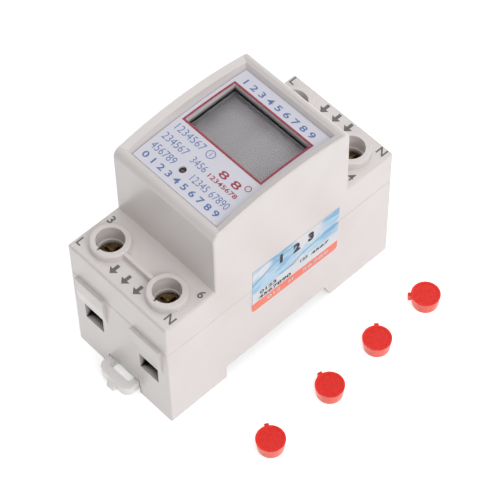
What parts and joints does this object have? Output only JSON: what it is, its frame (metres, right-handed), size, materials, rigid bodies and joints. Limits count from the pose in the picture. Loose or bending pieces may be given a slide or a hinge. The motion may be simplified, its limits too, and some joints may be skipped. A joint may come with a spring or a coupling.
{
  "type": "din rail energy meter",
  "caption": "Rail-mounted energy meter: stepped two-module housing, arched front with display, screw terminals and sliding latch.",
  "frame": {"origin": "on the rail's seat, at the rail's centre line and the middle of the meter's width", "axes": "+Z out of the display, +Y across the rail towards the incoming terminals, +X along the rail to the right"},
  "size_m": [0.0626, 0.0846, 0.0674],
  "materials": {
    "housing": "satin light grey moulding",
    "label": "smooth white panel",
    "print_red": "ink",
    "print_blue": "ink",
    "clear": "clear pane",
    "display": "grey display, switched off",
    "dark_plastic": "matt black moulding",
    "rubber": "conductive rubber",
    "circuit_board": "green solder mask",
    "steel": "plated steel",
    "pulse_led": "dark red lens",
    "capacitor": "moulded box",
    "capacitor_can": "sleeved can",
    "varistor": "dipped disc",
    "resistor": "lacquered body",
    "brass": "dull brass",
    "shunt": "resistance alloy",
    "sticker": "pale blue film",
    "sticker_red": "coral red print",
    "sticker_white": "white print",
    "latch": "milky plastic",
    "screw": "dull brass plate",
    "plug_red": "red soft plastic"
  },
  "bodies": {
    "housing": {"base_housing": "housing", "top_cover": "housing", "front_label": "label", "print_window_frame": "print_red", "print_blue": "print_blue", "print_red": "print_red", "display_window": "clear", "lcd_panel": "display", "lcd_frame": "dark_plastic", "contact_strips": "rubber", "display_board": "circuit_board", "board_screws": "steel", "pulse_led": "pulse_led", "main_board": "circuit_board", "board_link": "dark_plastic", "metering_chip": "dark_plastic", "control_chip": "dark_plastic", "crystal": "steel", "dropper_capacitor": "capacitor", "smoothing_capacitor": "capacitor_can", "surge_varistor": "varistor", "dropper_resistor": "resistor", "neutral_bar": "brass", "live_bar_out": "brass", "live_bar_in": "brass", "shunt": "shunt", "sense_pins": "steel", "latch_spring": "steel", "side_sticker": "sticker", "sticker_band": "sticker_red", "sticker_strip": "sticker_white", "bridge_out_live": "brass", "bridge_out_neutral": "brass", "bridge_in_live": "brass", "bridge_in_neutral": "brass", "screw_plug_1": "plug_red", "screw_plug_2": "plug_red", "screw_plug_3": "plug_red", "screw_plug_4": "plug_red"},
    "latch": {"rail_latch": "latch"},
    "screw_out_live": {"terminal_screw_out_live": "screw"},
    "cage_out_live": {"cage_out_live": "brass"},
    "screw_out_neutral": {"terminal_screw_out_neutral": "screw"},
    "cage_out_neutral": {"cage_out_neutral": "brass"},
    "screw_in_live": {"terminal_screw_in_live": "screw"},
    "cage_in_live": {"cage_in_live": "brass"},
    "screw_in_neutral": {"terminal_screw_in_neutral": "screw"},
    "cage_in_neutral": {"cage_in_neutral": "brass"}
  },
  "joints": [
    {"name": "latch_slide", "type": "slide", "parent": "housing", "child": "latch", "axis": [0, -1, 0], "range_m": [0, 0.004], "stiffness_N_per_m": 400, "springref_m": -0.002, "deforming": ["latch_spring"]},
    {"name": "screw_out_live_turn", "type": "hinge", "parent": "housing", "child": "screw_out_live", "pos_m": [-0.0104, -0.02935, 0.033], "axis": [0, 0, -1], "range_deg": [0, 3086.2]},
    {"name": "cage_out_live_lift", "type": "slide", "parent": "housing", "child": "cage_out_live", "axis": [0, 0, 1], "range_m": [0, 0.006]},
    {"name": "screw_out_neutral_turn", "type": "hinge", "parent": "housing", "child": "screw_out_neutral", "pos_m": [0.0104, -0.02935, 0.033], "axis": [0, 0, -1], "range_deg": [0, 3086.2]},
    {"name": "cage_out_neutral_lift", "type": "slide", "parent": "housing", "child": "cage_out_neutral", "axis": [0, 0, 1], "range_m": [0, 0.006]},
    {"name": "screw_in_live_turn", "type": "hinge", "parent": "housing", "child": "screw_in_live", "pos_m": [-0.0104, 0.03365, 0.033], "axis": [0, 0, -1], "range_deg": [0, 3086.2]},
    {"name": "cage_in_live_lift", "type": "slide", "parent": "housing", "child": "cage_in_live", "axis": [0, 0, 1], "range_m": [0, 0.006]},
    {"name": "screw_in_neutral_turn", "type": "hinge", "parent": "housing", "child": "screw_in_neutral", "pos_m": [0.0104, 0.03365, 0.033], "axis": [0, 0, -1], "range_deg": [0, 3086.2]},
    {"name": "cage_in_neutral_lift", "type": "slide", "parent": "housing", "child": "cage_in_neutral", "axis": [0, 0, 1], "range_m": [0, 0.006]}
  ],
  "couplings": [
    {"joint": "screw_out_live_turn", "follows": "cage_out_live_lift", "rad_per_m": 8976},
    {"joint": "screw_out_neutral_turn", "follows": "cage_out_neutral_lift", "rad_per_m": 8976},
    {"joint": "screw_in_live_turn", "follows": "cage_in_live_lift", "rad_per_m": 8976},
    {"joint": "screw_in_neutral_turn", "follows": "cage_in_neutral_lift", "rad_per_m": 8976}
  ]
}
